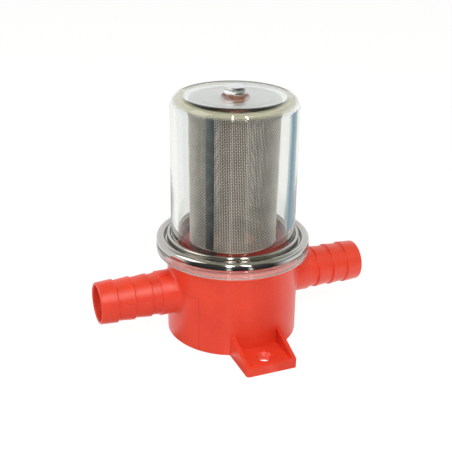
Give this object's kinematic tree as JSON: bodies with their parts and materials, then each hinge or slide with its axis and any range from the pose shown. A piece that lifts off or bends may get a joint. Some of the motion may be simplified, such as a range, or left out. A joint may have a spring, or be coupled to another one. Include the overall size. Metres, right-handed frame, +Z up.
{
  "type": "inline fuel filter",
  "caption": "Moulded base with opposed hose spigots and mounting lugs, clear flanged bowl over a steel mesh cylinder, polished clamp ring and a bolt through the crown.",
  "frame": {"origin": "centre of the base body's underside, on the plane that the lugs bolt to", "axes": "+Z up along the centre column, +X along the outlet spigot, -X along the inlet spigot, lugs along +Y and -Y"},
  "size_m": [0.1462, 0.1056, 0.1308],
  "materials": {
    "red_moulding": "satin moulded",
    "clear_moulding": "clear polished",
    "polished_steel": "polished",
    "pressed_steel": "pressed sheet",
    "mesh_steel": "woven wire",
    "bolt_steel": "machined",
    "insert_brass": "machined",
    "black_rubber": "moulded",
    "brown_fibre": "pressed fibre"
  },
  "bodies": {
    "base": {"base_housing": "red_moulding", "centre_column": "red_moulding", "threaded_insert": "insert_brass", "bowl_gasket": "black_rubber"},
    "bowl": {"bowl": "clear_moulding", "crown_grommet": "brown_fibre", "crown_seal": "brown_fibre"},
    "clamp_ring": {"clamp_ring": "polished_steel"},
    "element": {"element_seal": "black_rubber", "bottom_ring": "pressed_steel", "mesh_screen": "mesh_steel", "mesh_seam": "mesh_steel", "top_cap": "pressed_steel"},
    "head_washer": {"head_washer": "polished_steel"},
    "crown_bolt": {"crown_bolt": "bolt_steel"}
  },
  "joints": [
    {"name": "bowl_lift", "type": "slide", "parent": "base", "child": "bowl", "axis": [0, 0, 1], "range_m": [0, 0.18]},
    {"name": "element_lift", "type": "slide", "parent": "base", "child": "element", "axis": [0, 0, 1], "range_m": [0, 0.09]},
    {"name": "ring_lift", "type": "slide", "parent": "bowl", "child": "clamp_ring", "axis": [0, 0, 1], "range_m": [0, 0.09]},
    {"name": "bolt_draw", "type": "slide", "parent": "bowl", "child": "head_washer", "axis": [0, 0, 1], "range_m": [0, 0.03]},
    {"name": "bolt_turn", "type": "hinge", "parent": "head_washer", "child": "crown_bolt", "pos_m": [0, 0, 0.1278], "axis": [0, 0, 1], "continuous": true}
  ],
  "couplings": [
    {"joint": "element_lift", "follows": "bowl_lift", "ratio": 0.5}
  ]
}
